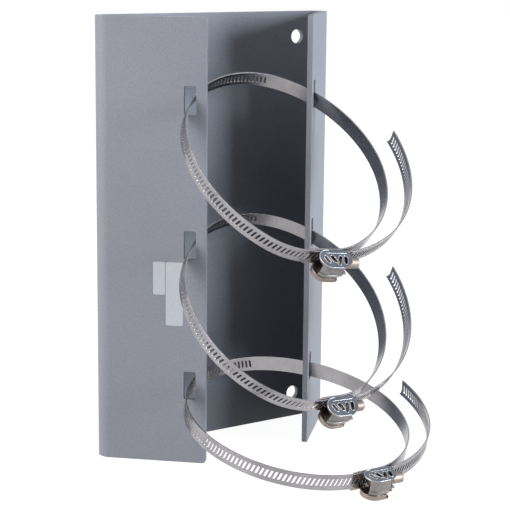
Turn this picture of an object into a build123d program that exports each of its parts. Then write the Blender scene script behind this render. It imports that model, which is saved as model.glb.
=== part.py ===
from build123d import *
from math import cos, radians, sin, tan
import os

# Camera pole mount bracket. All sizes in millimetres, angles in degrees.
# The origin is the centre of the four camera holes on the outer face of the web.
# Z is up, Y points out of the web towards the camera, and the pole stands on the Y minus side.

# Folded channel
channel_height = 250.0
web_width = 178.0            # between the two sharp outer corners, before the bends are rounded
flange_length = 75.5         # sharp outer corner to free edge
flange_angle = 45.0          # between the web and a flange, inside the channel
sheet_thickness = 3.0
bend_outer_radius = 8.0
flange_corner_radius = 2.0

# Camera holes in the web
hole_pitch_x = 123.0
hole_end_margin = 15.0       # end of the channel to the middle of a hole
hole_diameter = 8.5

# Band slots in the flanges
slot_width = 7.0
slot_height = 16.0
slot_corner_radius = 1.0
slot_edge_margin = 5.7       # free edge to the near side of the slot
slot_end_margin = 45.0       # end of the channel to the middle of the outer slots

# Stickers, left bare
label_thickness = 0.12
label_corner_radius = 0.9
small_label_size = (6.9, 18.6)
long_label_size = (9.8, 36.0)
label_top_z = -9.9
small_label_from_corner = 45.4   # along the flange, sharp corner to the near side
label_gap = 0.35

# Clamp band
band_width = 9.0
band_thickness = 0.7
band_rest_drop = 2.2         # the bands sag to the lower end of their slots
running_clearance = 0.05

# Clamp head, seen along the band as it runs straight through the head
head_sheet = 0.6
head_half_depth = 6.15       # half the depth of the top plate, also the radius of its round end
pivot_along = 5.0            # hinge rivet, measured from where the band leaves its round run
pivot_out = 5.75             # hinge rivet, outwards from the middle of the band
band_guide_gap = 0.3         # between the running band and the saddle
saddle_lip = 0.25            # the saddle stands this much past the band edges
saddle_start = -4.3
saddle_end = 13.0
tray_drop = 1.1              # band edge to the floor of the tray
tray_end = 12.8
tray_corner_radius = 2.5
tray_rim_end = 9.9
tray_window = (4.8, 2.9)
head_gap = 0.1               # between the saddle and the swing housing
rim_gap = 0.15
housing_end = 18.4
plate_cuts = (1.0, 4.4, 0.6, 3.3, 4.8, 0.7, 7.0)   # screw end of the plate, back and forward in turn
skirt_inset = 0.6            # the plate overhangs the skirt
skirt_end = 12.0
skirt_start_angle = 215.0
hem_gap = 0.7                # slit between the hem of the skirt and the rim of the tray
hem_height = 1.6
hem_end = 10.4
bearing_reach = 0.9          # bearing walls start this far out from the middle of the band
bearing_inset = 1.2          # right hand bearing wall, back from the end of the plate
bearing_below = 1.4          # bearing wall under the journal
ear_radius = 3.0
ear_sector = (222.0, 266.0)

# Worm screw
worm_radius = 3.4
worm_chamfer = 0.5
worm_start = 5.7
journal_radius = 1.5
journal_overhang = 0.5
screw_end_play = 0.3
screw_head_radius = 3.0
screw_head_length = 7.3
screw_head_chamfer = 0.8
driver_slot = (1.0, 1.6)     # width, depth

# Hinge rivet and latch pin
rivet_radius = 1.2
rivet_head = (2.0, 0.4)      # radius, height
latch_pin_radius = 0.7
latch_pin_head = (1.1, 0.4)
latch_pin_length = 3.0
latch_pin_gap = 0.15         # the pin stands past the end of the tray
latch_pin_in = 1.2           # from the front of the skirt

# Run of each band, measured along its middle line in the frame of its head.
# The loop is seven arcs that turn full circle, fitted one by one to the photograph.
head_run = 18.0
saddle_run = 10.0            # the fixed end lies flat on the saddle up to here
fixed_end_start = -1.0
loop_turns = (25.0, 55.0, 60.0, 60.0, 60.0, 60.0, 40.0)
closing_arcs = (2, 4)        # these two take up what is needed for the loop to close at the head
top_loop_radii = (33.9, 71.5, 64.6, 54.3, 62.5, 74.4, 40.1)
middle_loop_radii = (42.5, 69.8, 63.1, 55.9, 65.9, 69.0, 43.8)
bottom_loop_radii = (36.2, 67.6, 66.0, 57.4, 67.7, 64.9, 57.8)
tail_bend_radius = 12.0
top_tail_radius = 81.8
middle_tail_radius = 79.8
bottom_tail_radius = 82.2
top_slot_play = (-0.1, 0.1)  # how far inside the slot middles the band passes, left and right
middle_slot_play = (0.1, -0.1)
bottom_slot_play = (0.2, -0.2)

# Sizes that follow from the ones above
flange_dir = Vector(-cos(radians(flange_angle)), -sin(radians(flange_angle)), 0)
flange_out = Vector(sin(radians(flange_angle)), -cos(radians(flange_angle)), 0)
corner = Vector(web_width / 2, 0, 0)
slot_from_corner = flange_length - slot_edge_margin - slot_width / 2
slot_pitch = channel_height / 2 - slot_end_margin
hole_pitch_z = channel_height - 2 * hole_end_margin
slot_middle = corner + flange_dir * slot_from_corner - flange_out * (sheet_thickness / 2)
half_band = band_width / 2
skirt_radius = head_half_depth - skirt_inset
rim_outer_radius = skirt_radius + rim_gap + head_sheet
plate_bottom = half_band + saddle_lip + head_gap
plate_top = plate_bottom + head_sheet
floor_top = -half_band - tray_drop
floor_bottom = floor_top - head_sheet
ear_bottom = floor_top + head_gap
ear_top = ear_bottom + head_sheet
rim_top = -worm_radius - running_clearance   # the worm swings out over the rim
hem_bottom = rim_top + hem_gap
front_out = pivot_out + head_half_depth
skirt_front = pivot_out + skirt_radius
worm_out = band_thickness / 2 + running_clearance + worm_radius
bearing_end_wall = housing_end - head_sheet - bearing_inset
guide_inner = band_thickness / 2 + band_guide_gap
fixed_end_in = guide_inner + head_sheet + band_thickness / 2
latch_x = tray_end + latch_pin_gap + latch_pin_radius
far = 20 * head_half_depth   # longer than anything on a head

clamps = [
    dict(name="top", step=1, tilt=41.2, turn=-8.7, play=top_slot_play,
         radii=top_loop_radii, tail=(11.9, top_tail_radius, 86.1)),
    dict(name="middle", step=0, tilt=41.4, turn=-2.3, play=middle_slot_play,
         radii=middle_loop_radii, tail=(6.2, middle_tail_radius, 86.1)),
    dict(name="bottom", step=-1, tilt=15.0, turn=-2.1, play=bottom_slot_play,
         radii=bottom_loop_radii, tail=(11.3, bottom_tail_radius, 77.9)),
]


def block(x, y, z):
    """A box given by its low and high values along each axis."""
    return Pos((x[0] + x[1]) / 2, (y[0] + y[1]) / 2, (z[0] + z[1]) / 2) * Box(x[1] - x[0], y[1] - y[0], z[1] - z[0])


def disc(x, y, radius, z):
    """An upright cylinder between two heights."""
    return Pos(x, y, (z[0] + z[1]) / 2) * Cylinder(radius, z[1] - z[0])


def raised(sketch, z):
    """A sketch lifted and extruded between two heights."""
    return Pos(0, 0, z[0]) * extrude(sketch, z[1] - z[0])


def flange_plane(side, from_corner, z):
    """A plane on the middle of a flange, its X along the flange towards the free edge."""
    point = corner + flange_dir * from_corner - flange_out * (sheet_thickness / 2)
    return Plane(
        origin=(side * point.X, point.Y, z),
        x_dir=(side * flange_dir.X, flange_dir.Y, 0),
        z_dir=(side * flange_out.X, flange_out.Y, 0),
    )


def folded_channel():
    inner_corner = Vector(web_width / 2 - sheet_thickness / tan(radians(flange_angle / 2)), -sheet_thickness, 0)
    outer_edge = corner + flange_dir * flange_length
    inner_edge = outer_edge - flange_out * sheet_thickness
    right = [inner_corner, inner_edge, outer_edge, corner]
    left = [Vector(-p.X, p.Y, 0) for p in reversed(right)]
    section = make_face(Polyline(*[(p.X, p.Y) for p in right + left], close=True))
    bend_points = section.vertices().filter_by(lambda v: v.Y > -sheet_thickness - 0.01)
    outer_points = bend_points.filter_by(lambda v: v.Y > -0.01)
    section = fillet(outer_points, bend_outer_radius)
    inner_points = section.vertices().filter_by(
        lambda v: abs(v.Y + sheet_thickness) < 0.01 and abs(abs(v.X) - inner_corner.X) < 0.01
    )
    section = fillet(inner_points, bend_outer_radius - sheet_thickness)
    channel = Pos(0, 0, -channel_height / 2) * extrude(section, channel_height)

    for side in (1, -1):
        for step in (1, 0, -1):
            window = flange_plane(side, slot_from_corner, step * slot_pitch) * RectangleRounded(
                slot_width, slot_height, slot_corner_radius
            )
            channel -= extrude(window, sheet_thickness, both=True)
    for x in (-hole_pitch_x / 2, hole_pitch_x / 2):
        for z in (-hole_pitch_z / 2, hole_pitch_z / 2):
            channel -= Pos(x, 0, z) * Rot(90, 0, 0) * Cylinder(hole_diameter / 2, 3 * sheet_thickness)

    free_edge_x = outer_edge.X - sheet_thickness
    corners = channel.edges().filter_by(
        lambda e: abs(e.length - sheet_thickness) < 0.001
        and abs(abs(e.center().Z) - channel_height / 2) < 0.001
        and e.center().Y < slot_middle.Y
        and abs(e.center().X) > free_edge_x - sheet_thickness
    )
    return fillet(corners, flange_corner_radius)


def label(size, from_corner):
    """A bare sticker on the outer face of the left flange."""
    on_flange = flange_plane(-1, from_corner + size[0] / 2, label_top_z - size[1] / 2)
    outline = on_flange * Pos(0, 0, sheet_thickness / 2) * RectangleRounded(size[0], size[1], label_corner_radius)
    return extrude(outline, label_thickness)


def advance(x, y, heading, length, turn):
    """Follow a straight or an arc, turning left by so many degrees over its length."""
    start, end = radians(heading), radians(heading + turn)
    if turn:
        radius = length / (end - start)
        return x + radius * (sin(end) - sin(start)), y + radius * (cos(start) - cos(end)), heading + turn
    return x + length * cos(start), y + length * sin(start), heading


def closed_radii(radii):
    """The loop's radii, with the two closing arcs set so that it ends where the run through the head starts."""
    gap_x, gap_y, heading = -saddle_run, -fixed_end_in, 0.0
    unit = []
    for radius, turn in zip(radii, loop_turns):
        x, y, _ = advance(0, 0, heading, radians(turn), turn)
        unit.append((x, y))
        gap_x, gap_y, heading = gap_x - radius * x, gap_y - radius * y, heading + turn
    first, second = closing_arcs
    (ax, ay), (bx, by) = unit[first], unit[second]
    spread = ax * by - bx * ay
    radii = list(radii)
    radii[first] += (gap_x * by - bx * gap_y) / spread
    radii[second] += (ax * gap_y - gap_x * ay) / spread
    return radii


class BandRun:
    """The run of one band in the frame of its head: lengths, and the degrees that it turns over each."""

    def __init__(self, clamp):
        bend, tail_radius, sweep = clamp["tail"]
        loop = [(radius * radians(turn), turn) for radius, turn in zip(closed_radii(clamp["radii"]), loop_turns)]
        self.stretches = [
            (saddle_run - fixed_end_start, 0.0), *loop, (head_run, 0.0),
            (tail_bend_radius * radians(bend), bend), (tail_radius * radians(sweep), sweep),
        ]
        self.length = sum(length for length, _ in self.stretches)
        self.loop_length = self.stretches[0][0] + sum(length for length, _ in loop)

    def at(self, distance):
        """Place and heading at a distance from the fixed end."""
        state = (fixed_end_start, fixed_end_in, 0.0)
        for length, turn in self.stretches:
            if distance <= length:
                return advance(*state, distance, turn * distance / length)
            state = advance(*state, length, turn)
            distance -= length
        return state

    def wire(self):
        edges, (x, y, heading) = [], (fixed_end_start, fixed_end_in, 0.0)
        for length, turn in self.stretches:
            end = advance(x, y, heading, length, turn)
            if turn:
                radius, angle = length / radians(turn), radians(heading)
                centre = (x - radius * sin(angle), y + radius * cos(angle))
                edges.append(CenterArc(centre, radius, heading - 90, turn).edge())
            else:
                edges.append(Line((x, y), end[:2]).edge())
            x, y, heading = end
        return Wire(edges)


def head_place(run, clamp):
    """Where the head sits, level, when the loop passes through both slots, whose middle is the origin."""
    turn = radians(clamp["turn"])
    points = []
    for k in range(721):
        x, y, _ = run.at(run.loop_length * k / 720)
        points.append((x * cos(turn) - y * sin(turn), x * sin(turn) + y * cos(turn)))
    left_play, right_play = clamp["play"]
    low, high = sum(y for _, y in points) / len(points), max(y for _, y in points)
    for _ in range(40):
        level = (low + high) / 2
        crossings = [
            a[0] + (b[0] - a[0]) * (level - a[1]) / (b[1] - a[1])
            for a, b in zip(points, points[1:]) if (a[1] - level) * (b[1] - level) < 0
        ]
        if max(crossings) - min(crossings) > 2 * slot_middle.X - left_play - right_play:
            low = level
        else:
            high = level
    return Pos(left_play - slot_middle.X - min(crossings), -level) * Rot(0, 0, clamp["turn"])


def band(run):
    line = run.wire()
    start = Plane(origin=line @ 0, x_dir=(0, 0, 1), z_dir=line % 0)
    return sweep(start * Rectangle(band_width, band_thickness), path=line)


def head_outline(radius, end):
    """Round at the hinge and straight towards the screw head, as wide as the round end."""
    half = Pos(-radius, 0) * Rectangle(2 * radius, 2 * radius)
    straight = Pos((end - pivot_along) / 2, 0) * Rectangle(end - pivot_along, 2 * radius)
    return Pos(pivot_along, -pivot_out) * ((Circle(radius) & half) + straight)


def saddle():
    """Guides the running band, holds the fixed end and carries the tray under the head."""
    base_out = (guide_inner, guide_inner + head_sheet)
    base = block((saddle_start, saddle_end), base_out, (floor_bottom, half_band + saddle_lip))
    tray_outline = head_outline(rim_outer_radius, tray_end)
    front_corner = tray_outline.vertices().sort_by(Axis.X)[-2:].sort_by(Axis.Y)[0]
    tray_outline = fillet(front_corner, tray_corner_radius)
    back = Pos(pivot_along, base_out[1] - far / 2) * Rectangle(far, far)
    floor = raised(tray_outline & back, (floor_bottom, floor_top))
    root = (pivot_along - rim_outer_radius / 2, tray_end)
    floor += block(root, (-pivot_out, base_out[1]), (floor_bottom, floor_top))
    rim_ring = head_outline(rim_outer_radius, tray_rim_end) - head_outline(rim_outer_radius - head_sheet, tray_end)
    front = Pos(pivot_along, -guide_inner - running_clearance - head_sheet - far / 2) * Rectangle(far, far)
    rim = raised(rim_ring & front, (floor_bottom, rim_top))
    window_out = pivot_out + rim_outer_radius - 2 * head_sheet - tray_window[1] / 2
    window = Pos(tray_rim_end - tray_window[0] / 2, -window_out) * RectangleRounded(*tray_window, tray_window[1] / 4)
    body = base + floor + rim - raised(window, (floor_bottom - head_sheet, floor_top + head_sheet))
    return body - disc(pivot_along, -pivot_out, rivet_radius, (floor_bottom - head_sheet, floor_top + head_sheet))


def plate_outline():
    """The top plate, with the corners by the screw head cut off."""
    inner, outer = head_half_depth - pivot_out, -front_out
    back_1, in_1, back_2, in_2, back_3, in_3, back_4 = plate_cuts
    straight = Polyline(
        (pivot_along, inner), (housing_end - back_1, inner), (housing_end, outer + in_1 + in_2 + in_3),
        (housing_end - back_2, outer + in_2 + in_3), (housing_end - back_3, outer + in_3), (housing_end - back_4, outer),
        (pivot_along, outer), close=True,
    )
    return Pos(pivot_along, -pivot_out) * Circle(head_half_depth) + make_face(straight)


def sector(start, end):
    """A wedge around the hinge rivet, from one angle to another."""
    points = [(far * cos(radians(a)), far * sin(radians(a))) for a in (start, (start + end) / 2, end)]
    return Pos(pivot_along, -pivot_out) * make_face(Polyline((0, 0), *points, close=True))


def latch_pin_hole():
    """The latch pin's own place, also cut from the shelf that holds it."""
    return disc(latch_x, latch_pin_in - skirt_front, latch_pin_radius, (-latch_pin_length, 0))


def swing_housing():
    """Top plate, front skirt with its hem, two bearing walls, ear on the rivet and shelf of the latch pin."""
    plate = raised(plate_outline(), (plate_bottom, plate_top))
    front = sector(skirt_start_angle, 360)
    ring = head_outline(skirt_radius, skirt_end) - head_outline(skirt_radius - head_sheet, skirt_end + head_sheet)
    skirt = raised(ring & front, (hem_bottom, plate_bottom))
    hem_ring = head_outline(rim_outer_radius, hem_end) - head_outline(skirt_radius - head_sheet / 2, hem_end + head_sheet)
    skirt += raised(hem_ring & front, (hem_bottom, hem_bottom + hem_height))

    walls = Part()
    for x in (worm_start - screw_end_play - head_sheet, bearing_end_wall):
        walls += block(
            (x, x + head_sheet), (bearing_reach - 2 * worm_out, -bearing_reach),
            (-journal_radius - bearing_below, plate_bottom),
        )
    walls -= Pos(0, -worm_out, 0) * Rot(0, 90, 0) * Cylinder(journal_radius + running_clearance, far)

    wedge = sector(*ear_sector)
    hinge = Pos(pivot_along, -pivot_out)
    ear = raised(hinge * Circle(ear_radius) + (hinge * Circle(skirt_radius) & wedge), (ear_bottom, ear_top))
    ear -= disc(pivot_along, -pivot_out, rivet_radius + running_clearance, (ear_bottom - head_sheet, ear_top + head_sheet))
    leg = raised(ring & wedge, (ear_bottom, hem_bottom))

    shelf = block(
        (skirt_end - 2 * latch_pin_in, latch_x + 2 * latch_pin_radius),
        (-skirt_front, 2 * latch_pin_in - skirt_front), (-head_sheet, 0),
    )
    return plate + skirt + walls + ear + leg + (shelf - latch_pin_hole())


def worm_screw():
    """Worm between the two bearing walls, journals through them and a slotted barrel head."""
    left = worm_start - screw_end_play - head_sheet - journal_overhang
    worm_end = bearing_end_wall - screw_end_play
    head_start = bearing_end_wall + head_sheet + screw_end_play
    along = Pos(0, -worm_out, 0) * Rot(0, 90, 0)
    journal = along * Pos(0, 0, (left + head_start) / 2) * Cylinder(journal_radius, head_start - left)
    worm = along * Pos(0, 0, (worm_start + worm_end) / 2) * Cylinder(worm_radius, worm_end - worm_start)
    worm = chamfer(worm.edges().filter_by(GeomType.CIRCLE), worm_chamfer)
    head = along * Pos(0, 0, head_start + screw_head_length / 2) * Cylinder(screw_head_radius, screw_head_length)
    head = chamfer(head.edges().filter_by(GeomType.CIRCLE).sort_by(Axis.X)[-1], screw_head_chamfer)
    slot = block(
        (head_start + screw_head_length - driver_slot[1], head_start + screw_head_length + head_sheet),
        (-worm_out - 2 * screw_head_radius, 2 * screw_head_radius - worm_out),
        (-driver_slot[0] / 2, driver_slot[0] / 2),
    )
    return journal + worm + (head - slot)


def hinge_rivet():
    shank = disc(pivot_along, -pivot_out, rivet_radius, (floor_bottom, ear_top))
    return shank + disc(pivot_along, -pivot_out, rivet_head[0], (floor_bottom - rivet_head[1], floor_bottom))


def latch_pin():
    return latch_pin_hole() + disc(latch_x, latch_pin_in - skirt_front, latch_pin_head[0], (0, latch_pin_head[1]))


pieces = {
    "bracket_channel": folded_channel(),
    "small_label": label(small_label_size, small_label_from_corner),
    "long_label": label(long_label_size, small_label_from_corner + small_label_size[0] + label_gap),
}
for clamp in clamps:
    run = BandRun(clamp)
    hung = Pos(0, slot_middle.Y, clamp["step"] * slot_pitch - band_rest_drop) * Rot(clamp["tilt"], 0, 0)
    for piece, shape in (
        ("band", band(run)), ("saddle", saddle()), ("swing_housing", swing_housing()),
        ("worm_screw", worm_screw()), ("hinge_rivet", hinge_rivet()), ("latch_pin", latch_pin()),
    ):
        pieces[clamp["name"] + "_" + piece] = hung * head_place(run, clamp) * shape

os.makedirs("parts", exist_ok=True)
for name, shape in pieces.items():
    export_step(shape, f"parts/{name}.step")
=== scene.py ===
from math import cos, pi, radians, sin, sqrt, tan

import bmesh
import bpy
from mathutils import Matrix, Vector

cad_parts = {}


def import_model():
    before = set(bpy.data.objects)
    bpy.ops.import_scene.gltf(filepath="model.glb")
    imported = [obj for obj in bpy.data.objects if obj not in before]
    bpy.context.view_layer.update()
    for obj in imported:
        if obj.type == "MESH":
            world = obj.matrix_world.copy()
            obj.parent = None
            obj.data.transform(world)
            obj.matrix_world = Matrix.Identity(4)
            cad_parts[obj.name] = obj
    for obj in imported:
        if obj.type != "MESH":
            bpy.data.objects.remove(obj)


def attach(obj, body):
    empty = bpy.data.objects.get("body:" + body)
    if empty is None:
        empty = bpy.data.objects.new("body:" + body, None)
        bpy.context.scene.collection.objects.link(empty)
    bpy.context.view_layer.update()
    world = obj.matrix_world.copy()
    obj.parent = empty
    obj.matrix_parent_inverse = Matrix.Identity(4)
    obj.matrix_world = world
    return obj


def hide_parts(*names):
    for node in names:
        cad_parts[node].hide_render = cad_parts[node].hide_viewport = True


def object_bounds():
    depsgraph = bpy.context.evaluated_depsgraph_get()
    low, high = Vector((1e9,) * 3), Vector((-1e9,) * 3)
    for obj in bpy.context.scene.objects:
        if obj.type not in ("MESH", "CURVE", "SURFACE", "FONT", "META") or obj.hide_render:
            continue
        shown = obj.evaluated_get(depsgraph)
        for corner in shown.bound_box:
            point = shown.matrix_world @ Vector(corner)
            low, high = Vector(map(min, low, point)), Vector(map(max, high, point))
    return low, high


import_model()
cad_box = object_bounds()

MM = 0.001

# Camera, fitted to the edges of the bracket in the photograph
CAMERA_PLACE = Vector((-0.51261, -0.78493, 0.16232))
CAMERA_YAW, CAMERA_PITCH, CAMERA_ROLL = radians(34.875), radians(10.829), radians(0.543)
CAMERA_LENS = 113.77

# Sizes shared with the solids, in millimetres
SLOT_MIDDLE = (41.0582, -45.8205)
SLOT_PITCH = 80.0
REST_DROP = 2.2
BAND_WIDTH, BAND_THICKNESS = 9.0, 0.7
HEAD_SHEET = 0.6
SADDLE_IN = 0.65
FIXED_START = -1.0
FIXED_IN = SADDLE_IN + HEAD_SHEET + BAND_THICKNESS / 2
SADDLE_RUN, HEAD_RUN = 10.0, 18.0
LOOP_TURNS = (25, 55, 60, 60, 60, 60, 40)
CLOSING_ARCS = (2, 4)
TAIL_BEND_RADIUS = 12.0
WORM_RADIUS = 3.4
WORM_CLEARANCE = 0.05
WORM_OUT = BAND_THICKNESS / 2 + WORM_CLEARANCE + WORM_RADIUS
WORM_SPAN = (5.7, 16.3)
WORM_START = 4.3
JOURNAL_RADIUS = 1.5
THREAD_DEPTH = 0.95
BARREL_SPAN, BARREL_RADIUS = (17.5, 24.8), 3.0
BARREL_ROUNDING, CHAMFER = 0.9, 0.3
DRIVER_SLOT = (1.0, 1.6)     # width, depth
PLATE_TOP = 5.45
PIVOT = (5.0, -5.75)
PLATE_RADIUS = 6.15
PLATE_WINDOWS = (            # along the head, outwards, length, width, lean
    (3.3, 6.15, 4.8, 1.9, 20),
    (7.2, 5.95, 4.8, 2.5, 18),
    (10.6, 6.75, 6.6, 1.8, -28),
    (14.2, 6.45, 5.6, 2.0, -20),
)
WINDOW_BEAD = (0.18, 0.14)   # half width, height
ROUND_BEAD = (0.26, 0.2)
INNER_BEAD = (0.24, 0.12)
INNER_BEAD_OUT = 1.9
CLAMPS = [
    dict(name="top", step=1, tilt=41.2, turn=-8.7, play=(-0.1, 0.1),
         radii=(33.9, 71.5, 64.6, 54.3, 62.5, 74.4, 40.1), tail=(11.9, 81.8, 86.1)),
    dict(name="middle", step=0, tilt=41.4, turn=-2.3, play=(0.1, -0.1),
         radii=(42.5, 69.8, 63.1, 55.9, 65.9, 69.0, 43.8), tail=(6.2, 79.8, 86.1)),
    dict(name="bottom", step=-1, tilt=15.0, turn=-2.1, play=(0.2, -0.2),
         radii=(36.2, 67.6, 66.0, 57.4, 67.7, 64.9, 57.8), tail=(11.3, 82.2, 77.9)),
]

# Perforations of the bands
HOLES_START = 191.0
HOLE_PITCH = 2.5
HOLE_WIDTH = 1.2
HOLE_HEIGHT = 4.8
HOLE_LEAN = radians(18)
HOLE_LEAD_IN = 8.0           # length over which the mesh comes to lean with the slots
TIP_SCOOP = 1.3
TIP_MARGIN = 2.4
MESH_STEP = 1.5              # length of a face of the plain stretch
EDGE_LINES = (0.25, 1.1)     # lines of the mesh, measured from the band's edge
INNER_LINE = 0.7             # and from its middle


# Materials ------------------------------------------------------------------

class Nodes:
    """A short way to build node materials."""

    def __init__(self, name):
        self.material = bpy.data.materials.new(name)
        self.material.use_nodes = True
        self.tree = self.material.node_tree
        self.tree.nodes.clear()
        self.output = self.add("ShaderNodeOutputMaterial")
        self.surface = self.add("ShaderNodeBsdfPrincipled")
        self.link(self.surface.outputs[0], self.output.inputs["Surface"])
        coordinates = self.add("ShaderNodeTexCoord")
        self.place, self.along = coordinates.outputs["Object"], coordinates.outputs["UV"]

    def add(self, kind, **values):
        node = self.tree.nodes.new(kind)
        for key, value in values.items():
            setattr(node, key, value)
        return node

    def link(self, out, into):
        self.tree.links.new(out, into)

    def noise(self, scale, detail=2.0, roughness=0.5, stretch=None, place=None):
        node = self.add("ShaderNodeTexNoise")
        node.inputs["Scale"].default_value = scale
        node.inputs["Detail"].default_value = detail
        node.inputs["Roughness"].default_value = roughness
        source = place or self.place
        if stretch:
            mapping = self.add("ShaderNodeMapping")
            mapping.inputs["Scale"].default_value = stretch
            self.link(source, mapping.inputs["Vector"])
            source = mapping.outputs[0]
        self.link(source, node.inputs["Vector"])
        return node.outputs["Fac"]

    def edge_highlight_mask(self, radius):
        """Near 1 within a radius of any corner of the sheet, whatever the size of the faces beside it; the mask of
        the painted highlight on edges.
        """
        rounded = self.add("ShaderNodeBevel", samples=4)
        rounded.inputs["Radius"].default_value = radius
        flat = self.add("ShaderNodeNewGeometry").outputs["Normal"]
        match = self.add("ShaderNodeVectorMath", operation="DOT_PRODUCT")
        self.link(rounded.outputs[0], match.inputs[0])
        self.link(flat, match.inputs[1])
        return self.span(match.outputs["Value"], 1.0, 0.0, 0.8, 0.98)

    def ramp(self, source, stops):
        node = self.add("ShaderNodeValToRGB")
        elements = node.color_ramp.elements
        while len(elements) > 1:
            elements.remove(elements[-1])
        elements[0].position, elements[0].color = stops[0][0], (*stops[0][1], 1)
        for position, colour in stops[1:]:
            element = elements.new(position)
            element.color = (*colour, 1)
        self.link(source, node.inputs["Fac"])
        return node.outputs["Color"]

    def span(self, source, low, high, from_low=0.0, from_high=1.0):
        node = self.add("ShaderNodeMapRange")
        node.inputs["From Min"].default_value = from_low
        node.inputs["From Max"].default_value = from_high
        node.inputs["To Min"].default_value = low
        node.inputs["To Max"].default_value = high
        self.link(source, node.inputs["Value"])
        return node.outputs["Result"]

    def mix(self, factor, first, second, mode="MIX"):
        node = self.add("ShaderNodeMix", data_type="RGBA", blend_type=mode)
        for value, socket in ((factor, 0), (first, 6), (second, 7)):
            target = node.inputs[socket]
            if hasattr(value, "is_linked"):
                self.link(value, target)
            elif isinstance(value, (int, float)):
                target.default_value = value
            else:
                target.default_value = (*value, 1)
        return node.outputs[2]

    def bump(self, height, strength, distance, normal=None):
        node = self.add("ShaderNodeBump")
        node.inputs["Strength"].default_value = strength
        node.inputs["Distance"].default_value = distance
        self.link(height, node.inputs["Height"])
        if normal:
            self.link(normal, node.inputs["Normal"])
        return node.outputs["Normal"]

    def set(self, **sockets):
        for key, value in sockets.items():
            socket = self.surface.inputs[key.replace("_", " ")]
            if hasattr(value, "is_linked"):
                self.link(value, socket)
            elif isinstance(value, (tuple, list)):
                socket.default_value = (*value, 1)
            else:
                socket.default_value = value
        return self


def powder_coat():
    """Fine-grained paint, with a painted highlight where the sheet has an edge."""
    m = Nodes("powder_coat")
    grain = m.noise(1500, 2, 0.6)
    cloud = m.noise(14, 3, 0.5)
    base = m.ramp(cloud, [(0.3, (0.262, 0.276, 0.316)), (0.7, (0.292, 0.306, 0.348))])
    speck = m.ramp(grain, [(0.35, (0.84, 0.84, 0.84)), (0.65, (1.0, 1.0, 1.0))])
    painted = m.mix(1.0, base, speck, "MULTIPLY")
    # Painted highlight: near the sheet's edges the paint is mixed towards a lighter blue-grey.
    m.set(Base_Color=m.mix(m.edge_highlight_mask(0.0006), painted, (0.34, 0.355, 0.40)), Metallic=0.0,
          Roughness=m.span(grain, 0.38, 0.56), Normal=m.bump(grain, 0.5, 0.00012))
    return m.material


def band_steel():
    """Rolled strip: fine marks along its length, cloudy wear and a painted highlight on its edges."""
    m = Nodes("band_steel")
    marks = m.noise(1400, 3, 0.6, stretch=(0.03, 1, 1), place=m.along)
    cloud = m.noise(45, 4, 0.6)
    base = m.ramp(cloud, [(0.3, (0.27, 0.26, 0.27)), (0.65, (0.38, 0.365, 0.378))])
    # Painted highlight: near the strip's edges the steel is mixed towards a near-white.
    edge_highlighted = m.mix(m.edge_highlight_mask(0.00018), base, (0.80, 0.79, 0.78))
    m.set(Base_Color=edge_highlighted, Metallic=1.0, Roughness=m.span(marks, 0.14, 0.34), Normal=m.bump(marks, 0.2, 0.00006))
    return m.material


def head_steel(name, colour, rough):
    """Pressed or turned steel with cloudy tarnish, fine scratches and a painted highlight on its edges."""
    m = Nodes(name)
    scratches = m.noise(1100, 3, 0.6, stretch=(1, 0.15, 1))
    cloud = m.noise(160, 3, 0.6)
    base = m.ramp(cloud, [(0.3, tuple(0.7 * c for c in colour)), (0.62, colour)])
    # Painted highlight: near the edges the steel is mixed towards a near-white.
    edge_highlighted = m.mix(m.edge_highlight_mask(0.00018), base, (0.72, 0.71, 0.70))
    m.set(Base_Color=edge_highlighted, Metallic=1.0, Roughness=m.span(scratches, rough * 0.7, rough * 1.3),
          Normal=m.bump(scratches, 0.25, 0.00008))
    return m.material


def label_film():
    m = Nodes("label_film")
    fibre = m.noise(700, 3, 0.6)
    base = m.ramp(fibre, [(0.3, (0.51, 0.54, 0.58)), (0.7, (0.56, 0.59, 0.63))])
    m.set(Base_Color=base, Metallic=0.0, Roughness=m.span(fibre, 0.5, 0.65), Normal=m.bump(fibre, 0.15, 0.00005))
    return m.material


POWDER = powder_coat()
BAND_STEEL = band_steel()
# Painted shade: the housing's top faces get this darker, bluer copy of its steel; its sides get the skirt steel.
PLATE_TOP_SHADE = head_steel("plate_top_painted_shade", (0.20, 0.215, 0.245), 0.3)
TRAY_STEEL = head_steel("tray_steel", (0.36, 0.30, 0.255), 0.3)
SCREW_STEEL = head_steel("screw_steel", (0.33, 0.275, 0.235), 0.5)
SKIRT_STEEL = head_steel("skirt_steel", (0.29, 0.275, 0.265), 0.42)
# Painted highlight: the beads pressed in the top plate get this much lighter copy of its steel.
BEAD_HIGHLIGHT = head_steel("bead_painted_highlight", (0.50, 0.50, 0.51), 0.28)
LABEL = label_film()


# Mesh helpers ---------------------------------------------------------------

def new_piece(name, bm, material, body, slot, *nodes, smooth=None):
    mesh = bpy.data.meshes.new(name)
    bm.to_mesh(mesh)
    bm.free()
    mesh.materials.append(material)
    piece = bpy.data.objects.new(name, mesh)
    bpy.context.scene.collection.objects.link(piece)
    if smooth is not None:
        mesh.shade_smooth()
        mesh.set_sharp_from_angle(angle=radians(smooth))
    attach(piece, body)
    if nodes:
        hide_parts(*nodes)
    return piece


def bevel(piece, width, segments=2, angle=35):
    modifier = piece.modifiers.new("edge", "BEVEL")
    modifier.width = width * MM
    modifier.segments = segments
    modifier.limit_method = "ANGLE"
    modifier.angle_limit = radians(angle)
    modifier.harden_normals = True


def box(matrix, x, y, z):
    """A closed box mesh between low and high values along each axis."""
    bm = bmesh.new()
    bmesh.ops.create_cube(bm, size=1.0)
    for vert in bm.verts:
        corner = [low if value < 0 else high for value, (low, high) in zip(vert.co, (x, y, z))]
        vert.co = matrix @ Vector(corner)
    return bm


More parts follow.
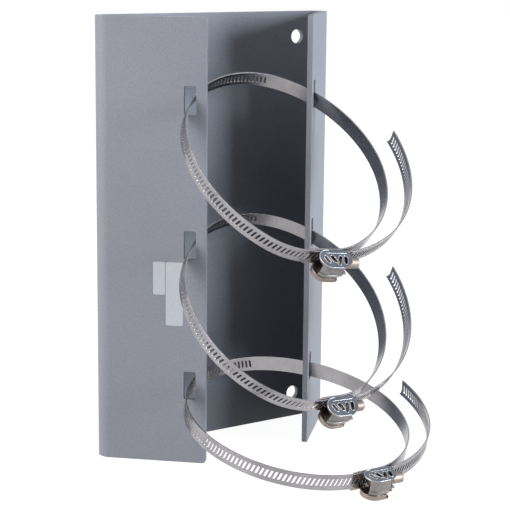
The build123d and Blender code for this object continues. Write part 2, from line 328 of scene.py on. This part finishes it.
def cut_away(piece, knife):
    """Take the knife's shape out of a piece."""
    mesh = bpy.data.meshes.new("knife")
    knife.to_mesh(mesh)
    knife.free()
    blade = bpy.data.objects.new("knife", mesh)
    bpy.context.scene.collection.objects.link(blade)
    modifier = piece.modifiers.new("cut", "BOOLEAN")
    modifier.operation, modifier.solver, modifier.object = "DIFFERENCE", "EXACT", blade
    shaped = bpy.data.meshes.new_from_object(piece.evaluated_get(bpy.context.evaluated_depsgraph_get()))
    piece.modifiers.remove(modifier)
    piece.data = shaped
    bpy.data.objects.remove(blade)


def finish(piece, angle):
    piece.data.shade_smooth()
    piece.data.set_sharp_from_angle(angle=radians(angle))


def softened(node, material, body, slot, width, segments=2):
    """The node's own shape with its sharp edges broken, as pressed or folded metal has."""
    bm = bmesh.new()
    bm.from_mesh(bpy.data.objects[node].data)
    bmesh.ops.remove_doubles(bm, verts=bm.verts, dist=1e-6)
    bmesh.ops.dissolve_limit(bm, angle_limit=radians(1.0), verts=bm.verts, edges=bm.edges)
    piece = new_piece(node + "_finished", bm, material, body, slot, node, smooth=35)
    bevel(piece, width, segments)


# Bands ----------------------------------------------------------------------

def advance(x, y, heading, length, turn):
    """Follow a straight or an arc that turns left by so many degrees over its length."""
    end = heading + radians(turn)
    if turn:
        radius = length / radians(turn)
        return x + radius * (sin(end) - sin(heading)), y + radius * (cos(heading) - cos(end)), end
    return x + length * cos(heading), y + length * sin(heading), end


class Run:
    """The middle line of a band in the frame of its head, measured from the fixed end."""

    def __init__(self, clamp):
        gap, heading, unit = Vector((-SADDLE_RUN, -FIXED_IN)), 0.0, []
        for radius, turn in zip(clamp["radii"], LOOP_TURNS):
            x, y, heading = advance(0, 0, heading, radians(turn), turn)
            unit.append(Vector((x, y)))
            gap -= radius * unit[-1]
        radii = list(clamp["radii"])
        first, second = (unit[k] for k in CLOSING_ARCS)
        spread = first.x * second.y - second.x * first.y
        radii[CLOSING_ARCS[0]] += (gap.x * second.y - second.x * gap.y) / spread
        radii[CLOSING_ARCS[1]] += (first.x * gap.y - gap.x * first.y) / spread

        bend, tail_radius, sweep = clamp["tail"]
        loop = [(radius * radians(turn), turn) for radius, turn in zip(radii, LOOP_TURNS)]
        self.stretches = [
            (SADDLE_RUN - FIXED_START, 0), *loop, (HEAD_RUN, 0),
            (TAIL_BEND_RADIUS * radians(bend), bend), (tail_radius * radians(sweep), sweep),
        ]
        self.length = sum(length for length, _ in self.stretches)
        self.loop_length = sum(length for length, _ in self.stretches[:8])

    def at(self, distance):
        state = (FIXED_START, FIXED_IN, 0.0)
        for length, turn in self.stretches:
            if distance <= length:
                return advance(*state, distance, turn * distance / length)
            state = advance(*state, length, turn)
            distance -= length
        return state


def clamp_matrix(clamp):
    """From the frame of the head, in millimetres, to the object: the loop passes through both slots."""
    run, turn = Run(clamp), Matrix.Rotation(radians(clamp["turn"]), 2)
    points = [turn @ Vector(run.at(run.loop_length * k / 720)[:2]) for k in range(721)]
    low, high = sum(p.y for p in points) / len(points), max(p.y for p in points)
    left, right = clamp["play"]
    for _ in range(40):
        level = (low + high) / 2
        crossings = [
            a.x + (b.x - a.x) * (level - a.y) / (b.y - a.y)
            for a, b in zip(points, points[1:]) if (a.y - level) * (b.y - level) < 0
        ]
        if max(crossings) - min(crossings) > 2 * SLOT_MIDDLE[0] - left - right:
            low = level
        else:
            high = level
    head = Vector((left - SLOT_MIDDLE[0] - min(crossings), -level, 0))
    hang = Vector((0, SLOT_MIDDLE[1], clamp["step"] * SLOT_PITCH - REST_DROP))
    return (
        Matrix.Scale(MM, 4) @ Matrix.Translation(hang) @ Matrix.Rotation(radians(clamp["tilt"]), 4, "X")
        @ Matrix.Translation(head) @ Matrix.Rotation(radians(clamp["turn"]), 4, "Z")
    )


def hole_half_width(z):
    """Half the width of a slanted slot at a height, with rounded ends."""
    half, round_end = HOLE_HEIGHT / 2, HOLE_WIDTH / 2
    past = abs(z) - (half - round_end)
    return round_end if past <= 0 else sqrt(max(round_end**2 - past**2, 0))


def band(clamp):
    """The strip as a thin sheet with its slanted slots left open, then given its thickness."""
    run = Run(clamp)
    matrix = clamp_matrix(clamp)
    half = BAND_WIDTH / 2
    first, last = HOLES_START, run.length - TIP_MARGIN
    count = int((last - first) / HOLE_PITCH)
    first = last - count * HOLE_PITCH
    lean = tan(HOLE_LEAN)
    edge_rows = [-half, *(line - half for line in EDGE_LINES)]
    ends = [-HOLE_HEIGHT / 2 + HOLE_WIDTH / 2 * (1 - sin((4 - k) / 4 * pi / 2)) for k in range(4)]
    inner = ends + [-HOLE_HEIGHT / 2 + HOLE_WIDTH / 2, -INNER_LINE]
    rows = edge_rows + inner + [-z for z in reversed(inner)] + [-z for z in reversed(edge_rows)]
    low, high = len(edge_rows), len(rows) - len(edge_rows) - 1
    bm = bmesh.new()
    placed = {}

    def shear(s):
        """The cells lean with the slots, and stand upright at both ends of the band."""
        start = min(max((s - (first - HOLE_LEAD_IN)) / HOLE_LEAD_IN, 0), 1)
        end = min(max((run.length - s) / TIP_MARGIN, 0), 1)
        return lean * (start * end)

    def vertex(s, z, nominal=None):
        s = min(max(s + z * shear(s if nominal is None else nominal), 0), run.length)
        x, y, _ = run.at(s)
        corner = bm.verts.new(matrix @ Vector((x, y, z)))
        placed[corner] = (s * MM, z * MM)
        return corner

    def column(s):
        return [vertex(s, z) for z in rows]

    def strip(a, b):
        for k in range(len(rows) - 1):
            bm.faces.new((a[k], b[k], b[k + 1], a[k + 1]))

    steps = int(first / MESH_STEP)
    before = column(0)
    for k in range(1, steps + 1):
        after = column(first * k / steps)
        strip(before, after)
        before = after
    for cell in range(count):
        s0 = first + cell * HOLE_PITCH
        middle, s1 = s0 + HOLE_PITCH / 2, s0 + HOLE_PITCH
        after = column(s1)
        left, right = [], []
        for k, z in enumerate(rows):
            if k <= low or k >= high:
                both = vertex(middle, z)
                left.append(both)
                right.append(both)
            else:
                reach = hole_half_width(z) / cos(HOLE_LEAN)
                left.append(vertex(middle - reach, z, middle))
                right.append(vertex(middle + reach, z, middle))
        strip(before, left)
        strip(right, after)
        before = after
    tip = [vertex(run.length - TIP_SCOOP * (1 - (z / half) ** 2), z) for z in rows]
    strip(before, tip)
    bmesh.ops.recalc_face_normals(bm, faces=bm.faces)
    layer = bm.loops.layers.uv.new("along")
    for face in bm.faces:
        for loop in face.loops:
            loop[layer].uv = placed[loop.vert]
    name = clamp["name"]
    piece = new_piece(name + "_perforated_band", bm, BAND_STEEL, name + "_clamp", "stainless_band", name + "_band",
                      smooth=40)
    thick = piece.modifiers.new("thickness", "SOLIDIFY")
    thick.thickness = BAND_THICKNESS * MM
    thick.offset = 0
    bevel(piece, 0.1, 2, 50)


def screw(clamp):
    """The threaded worm, its journals and the slotted barrel head, turned around the screw's own line."""
    name = clamp["name"]
    matrix = clamp_matrix(clamp) @ Matrix.Translation((0, -WORM_OUT, 0)) @ Matrix.Rotation(pi / 2, 4, "Y")
    low, high = WORM_SPAN
    barrel_start, barrel_end = BARREL_SPAN
    around, per_turn = 40, 10
    bm = bmesh.new()
    rings = []

    def ring(x, radius):
        """One ring of the screw: its radius is a length, or changes with the angle."""
        at = radius if callable(radius) else lambda turn: radius
        corners = []
        for k in range(around):
            reach, angle = at(k / around), 2 * pi * k / around
            corners.append(bm.verts.new(matrix @ Vector((reach * cos(angle), reach * sin(angle), x))))
        rings.append(corners)

    def thread(x):
        fade = min((x - low) / 0.8, (high - x) / 0.8, 1.0)

        def radius(turn):
            phase = ((x - low) / HOLE_PITCH - turn) % 1.0
            crest = min(max(1.5 - abs(phase - 0.5) * 5.0, 0.0), 1.0)
            return WORM_RADIUS - THREAD_DEPTH * (1 - crest * fade)
        return radius

    ring(WORM_START, JOURNAL_RADIUS - CHAMFER)
    ring(WORM_START + CHAMFER, JOURNAL_RADIUS)
    ring(low, JOURNAL_RADIUS)
    steps = int((high - low) / HOLE_PITCH * per_turn)
    for k in range(steps + 1):
        x = low + (high - low) * k / steps
        ring(x, thread(x))
    ring(high, JOURNAL_RADIUS)
    ring(barrel_start, JOURNAL_RADIUS)
    ring(barrel_start, BARREL_RADIUS - CHAMFER)
    ring(barrel_start + CHAMFER, BARREL_RADIUS)
    for k in range(7):
        angle = k / 6 * pi / 2
        x = barrel_end - BARREL_ROUNDING * (1 - sin(angle))
        ring(x, BARREL_RADIUS - BARREL_ROUNDING * (1 - cos(angle)))
    for a, b in zip(rings, rings[1:]):
        for k in range(around):
            bm.faces.new((a[k], a[(k + 1) % around], b[(k + 1) % around], b[k]))
    bm.faces.new(list(reversed(rings[0])))
    bm.faces.new(rings[-1])
    bmesh.ops.recalc_face_normals(bm, faces=bm.faces)
    piece = new_piece(name + "_threaded_screw", bm, SCREW_STEEL, name + "_screw", "screw_steel", name + "_worm_screw")

    width, depth = DRIVER_SLOT
    across, along = (-2 * BARREL_RADIUS, 2 * BARREL_RADIUS), (barrel_end - depth, barrel_end + 1)
    cut_away(piece, box(matrix, (-width / 2, width / 2), across, along))
    finish(piece, 35)


def window_outline(window, grow=0.0, steps=10):
    """A round-ended slot of the top plate, as points in the frame of the head."""
    x, out, length, width, lean = window
    radius, half = width / 2 + grow, (length - width) / 2
    turn = Matrix.Rotation(radians(lean), 2)
    points = []
    for side in (1, -1):
        for k in range(steps + 1):
            angle = pi * k / steps
            corner = side * Vector((radius * cos(angle), half + radius * sin(angle)))
            points.append(Vector((x, -out)) + turn @ corner)
    return points


def prism(matrix, outline, low, high):
    """A closed upright prism over an outline."""
    bm = bmesh.new()
    rings = [[bm.verts.new(matrix @ Vector((*point, z))) for point in outline] for z in (low, high)]
    bm.faces.new(list(reversed(rings[0])))
    bm.faces.new(rings[1])
    for k in range(len(outline)):
        after = (k + 1) % len(outline)
        bm.faces.new((rings[0][k], rings[0][after], rings[1][after], rings[1][k]))
    bmesh.ops.recalc_face_normals(bm, faces=bm.faces)
    return bm


def housing(clamp):
    """The node's own shape with four round-ended windows punched through its top plate."""
    matrix, name = clamp_matrix(clamp), clamp["name"]
    bm = bmesh.new()
    bm.from_mesh(bpy.data.objects[name + "_swing_housing"].data)
    bmesh.ops.remove_doubles(bm, verts=bm.verts, dist=1e-6)
    piece = new_piece(name + "_punched_housing", bm, PLATE_TOP_SHADE, name + "_head", "pressed_steel",
                      name + "_swing_housing")
    for window in PLATE_WINDOWS:
        cut_away(piece, prism(matrix, window_outline(window), PLATE_TOP - 1.2, PLATE_TOP + 0.6))
    # Painted shade: faces on top of the plate keep the darker, bluer first steel, the sides take the skirt steel.
    piece.data.materials.append(SKIRT_STEEL)
    to_head = matrix.inverted()
    for face in piece.data.polygons:
        face.material_index = 0 if (to_head @ face.center).z > PLATE_TOP - 0.1 else 1
    finish(piece, 35)
    bevel(piece, 0.12)


def bead(bm, matrix, points, section, closed):
    """A half-round bead standing on the top plate along a line of points, lower at the ends of an open one."""
    rows = []
    (radius, height), last = section, len(points) - 1
    for k, point in enumerate(points):
        if closed:
            before, after = points[k - 1], points[(k + 1) % len(points)]
        else:
            before, after = points[max(k - 1, 0)], points[min(k + 1, last)]
        along = (after - before).normalized()
        across = Vector((-along.y, along.x))
        full = 1.0 if closed or 0 < k < last else 0.3
        row = []
        for a in range(7):
            angle = pi * a / 6
            flat = point + across * radius * cos(angle)
            row.append(bm.verts.new(matrix @ Vector((*flat, PLATE_TOP - 0.03 + full * height * sin(angle)))))
        rows.append(row)
    for a, b in zip(rows, rows[1:] + rows[:1] if closed else rows[1:]):
        for k in range(6):
            bm.faces.new((a[k], b[k], b[k + 1], a[k + 1]))
        bm.faces.new((a[6], b[6], b[0], a[0]))
    if not closed:
        bm.faces.new(rows[0])
        bm.faces.new(list(reversed(rows[-1])))


def plate_beads(clamp):
    """Rims round the windows and the round end of the plate, and a stiffening bead along its inner edge."""
    matrix, name = clamp_matrix(clamp), clamp["name"]
    bm = bmesh.new()
    for window in PLATE_WINDOWS:
        bead(bm, matrix, window_outline(window, 0.2), WINDOW_BEAD, True)
    pivot = Vector(PIVOT)
    radius = PLATE_RADIUS - 0.3
    round_end = [pivot + radius * Vector((cos(radians(a)), sin(radians(a)))) for a in range(80, 281, 8)]
    front = [pivot + Vector((x, -radius)) for x in (1.5, 3.0, 4.5, 6.0)]
    inner = [Vector((x, -INNER_BEAD_OUT)) for x in (3.6, 4.2, 8.0, 12.0, 15.8, 16.4)]
    bead(bm, matrix, round_end + front, ROUND_BEAD, False)
    bead(bm, matrix, inner, INNER_BEAD, False)
    bmesh.ops.recalc_face_normals(bm, faces=bm.faces)
    # Painted highlight: the beads get a much lighter steel than the plate they stand on.
    new_piece(name + "_plate_beads", bm, BEAD_HIGHLIGHT, name + "_head", "pressed_steel", smooth=60)


# Dress the nodes ------------------------------------------------------------

softened("bracket_channel", POWDER, "bracket", "powder_coat", 0.35, 3)
for name in ("small_label", "long_label"):
    bpy.data.objects[name].data.materials.clear()
    bpy.data.objects[name].data.materials.append(LABEL)
for clamp in CLAMPS:
    name = clamp["name"]
    band(clamp)
    screw(clamp)
    housing(clamp)
    plate_beads(clamp)
    softened(name + "_saddle", TRAY_STEEL, name + "_clamp", "pressed_steel", 0.1)
    softened(name + "_hinge_rivet", SCREW_STEEL, name + "_clamp", "screw_steel", 0.15)
    softened(name + "_latch_pin", SCREW_STEEL, name + "_head", "screw_steel", 0.15)


# Stage ----------------------------------------------------------------------

def pale_floor():
    """Shaded like any surface, with the rest of the way to white added for the camera and for reflections."""
    m = Nodes("pale_floor")
    m.set(Base_Color=(0.20, 0.20, 0.21), Roughness=0.9)
    glow = m.add("ShaderNodeEmission")
    paths = m.add("ShaderNodeLightPath").outputs
    seen = m.add("ShaderNodeMath", operation="MAXIMUM")
    m.link(paths["Is Camera Ray"], seen.inputs[0])
    m.link(paths["Is Glossy Ray"], seen.inputs[1])
    m.link(m.span(seen.outputs[0], 0.0, 0.95), glow.inputs["Strength"])
    both = m.add("ShaderNodeAddShader")
    m.link(m.surface.outputs[0], both.inputs[0])
    m.link(glow.outputs[0], both.inputs[1])
    m.link(both.outputs[0], m.output.inputs["Surface"])
    return m.material


def world():
    """White behind the object. Metal sees that white with a slightly darker ceiling; the light itself is dim."""
    scene_world = bpy.data.worlds.new("studio")
    scene_world.use_nodes = True
    tree = scene_world.node_tree
    tree.nodes.clear()
    output = tree.nodes.new("ShaderNodeOutputWorld")
    place = tree.nodes.new("ShaderNodeTexCoord")
    height = tree.nodes.new("ShaderNodeSeparateXYZ")
    ceiling = tree.nodes.new("ShaderNodeValToRGB")
    tree.links.new(place.outputs["Generated"], height.inputs[0])
    tree.links.new(height.outputs["Z"], ceiling.inputs["Fac"])
    stops = ceiling.color_ramp.elements
    stops[0].position, stops[0].color = 0.12, (1, 1, 1, 1)
    stops[1].position, stops[1].color = 0.62, (0.85, 0.90, 0.97, 1)

    def background(colour, strength):
        node = tree.nodes.new("ShaderNodeBackground")
        if isinstance(colour, tuple):
            node.inputs["Color"].default_value = (*colour, 1)
        else:
            tree.links.new(colour, node.inputs["Color"])
        node.inputs["Strength"].default_value = strength
        return node.outputs[0]

    paths = tree.nodes.new("ShaderNodeLightPath").outputs
    shader = background((0.94, 0.96, 1.0), 0.035)
    for ray, other in (
        ("Is Glossy Ray", background(ceiling.outputs[0], 1.0)),
        ("Is Transmission Ray", background((1, 1, 1), 1.0)),
        ("Is Camera Ray", background((1, 1, 1), 1.0)),
    ):
        mix = tree.nodes.new("ShaderNodeMixShader")
        tree.links.new(paths[ray], mix.inputs[0])
        tree.links.new(shader, mix.inputs[1])
        tree.links.new(other, mix.inputs[2])
        shader = mix.outputs[0]
    tree.links.new(shader, output.inputs["Surface"])
    bpy.context.scene.world = scene_world


def lamp(name, place, target, size, power, colour=(1, 1, 1)):
    light = bpy.data.lights.new(name, "AREA")
    light.shape = "RECTANGLE"
    light.size, light.size_y = size
    light.energy = power
    light.color = colour
    obj = bpy.data.objects.new(name, light)
    obj.location = place
    obj.rotation_euler = (Vector(target) - Vector(place)).to_track_quat("-Z", "Y").to_euler()
    bpy.context.scene.collection.objects.link(obj)


def floor():
    bm = bmesh.new()
    bmesh.ops.create_circle(bm, cap_ends=True, segments=96, radius=6.0)
    mesh = bpy.data.meshes.new("floor")
    bm.to_mesh(mesh)
    bm.free()
    mesh.materials.append(pale_floor())
    obj = bpy.data.objects.new("floor", mesh)
    obj.location = (0, 0, cad_box[0][2] - 0.0002)
    bpy.context.scene.collection.objects.link(obj)


def camera():
    yaw, pitch, roll = CAMERA_YAW, CAMERA_PITCH, CAMERA_ROLL
    forward = Vector((sin(yaw) * cos(pitch), cos(yaw) * cos(pitch), -sin(pitch)))
    right = Vector((cos(yaw), -sin(yaw), 0))
    up = right.cross(forward)
    turned_right = right * cos(roll) + up * sin(roll)
    turned_up = up * cos(roll) - right * sin(roll)
    data = bpy.data.cameras.new("camera")
    data.lens, data.sensor_width = CAMERA_LENS, 36.0
    data.clip_start, data.clip_end = 0.01, 50
    obj = bpy.data.objects.new("camera", data)
    obj.matrix_world = Matrix((
        (turned_right.x, turned_up.x, -forward.x, CAMERA_PLACE.x),
        (turned_right.y, turned_up.y, -forward.y, CAMERA_PLACE.y),
        (turned_right.z, turned_up.z, -forward.z, CAMERA_PLACE.z),
        (0, 0, 0, 1),
    ))
    bpy.context.scene.collection.objects.link(obj)
    bpy.context.scene.camera = obj


world()
floor()
camera()
lamp("front_softbox", (1.12, -1.45, 0.3), (0, -0.05, 0), (1.2, 0.9), 36, (0.84, 0.91, 1.0))
lamp("left_softbox", (-1.9, 0.1, 0.6), (0, -0.05, 0), (2.2, 2.6), 76, (1.0, 0.975, 0.985))
bpy.context.scene.view_settings.view_transform = "Standard"
